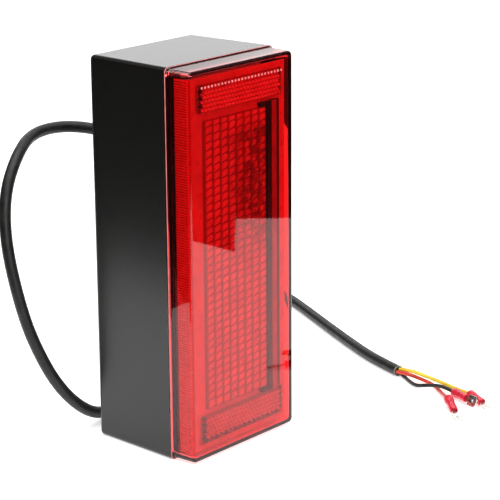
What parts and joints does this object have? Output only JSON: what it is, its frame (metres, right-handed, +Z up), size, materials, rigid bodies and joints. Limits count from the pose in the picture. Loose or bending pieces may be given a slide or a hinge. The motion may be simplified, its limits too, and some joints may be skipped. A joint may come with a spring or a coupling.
{
  "type": "trailer tail light",
  "caption": "Black box tail light for a trailer with a red prismatic lens, back studs, and a jacketed cable ending in crimped blade terminals.",
  "frame": {"origin": "bottom centre of the light with its studs, without the free cable and what is on it", "axes": "+Z up along the light's long side, -Y out of the lens, +Y out of the mounting studs, X across the light"},
  "size_m": [0.2868, 0.2746, 0.2107],
  "materials": {
    "housing_black": "fine moulded texture",
    "lens_red": "clear red, polished",
    "optic_red": "clear red, prismatic",
    "baffle_black": "satin",
    "seal_rubber": "matte",
    "reflector_white": "satin white",
    "board_green": "solder mask",
    "led_body": "satin",
    "led_clear": "clear",
    "component_dark": "satin",
    "component_can": "satin",
    "steel_zinc": "zinc plated",
    "cable_black": "satin",
    "core_yellow": "satin",
    "core_red": "satin",
    "core_black": "satin",
    "sleeve_red": "glossy vinyl",
    "tinned_brass": "tin plated"
  },
  "bodies": {
    "root": {"housing": "housing_black", "lens": "lens_red", "lens_seal": "seal_rubber", "reflex_reflector_top": "optic_red", "reflex_reflector_bottom": "optic_red", "pillow_optic": "optic_red", "light_baffle": "baffle_black", "reflector_panel": "reflector_white", "circuit_board": "board_green", "main_leds": "led_body", "led_domes": "led_clear", "marker_board": "board_green", "marker_leds": "led_body", "resistors": "component_dark", "diodes": "component_dark", "driver_chip": "component_dark", "capacitor": "component_can", "board_screws": "steel_zinc", "strain_relief": "cable_black", "cable_inner": "cable_black", "board_lead_yellow": "core_yellow", "board_lead_red": "core_red", "board_lead_black": "core_black", "solder_pins": "tinned_brass", "cable_bridge": "baffle_black", "bridge_screws": "steel_zinc", "stud_plate": "steel_zinc", "stud_lower": "steel_zinc", "stud_upper": "steel_zinc", "vent_plug": "cable_black", "cable_jacket": "cable_black", "wire_yellow": "core_yellow", "wire_red": "core_red", "wire_black": "core_black", "terminal_sleeve_yellow": "sleeve_red", "terminal_tab_yellow": "tinned_brass", "terminal_sleeve_red": "sleeve_red", "terminal_tab_red": "tinned_brass", "terminal_sleeve_black": "sleeve_red", "terminal_tab_black": "tinned_brass"}
  },
  "joints": []
}
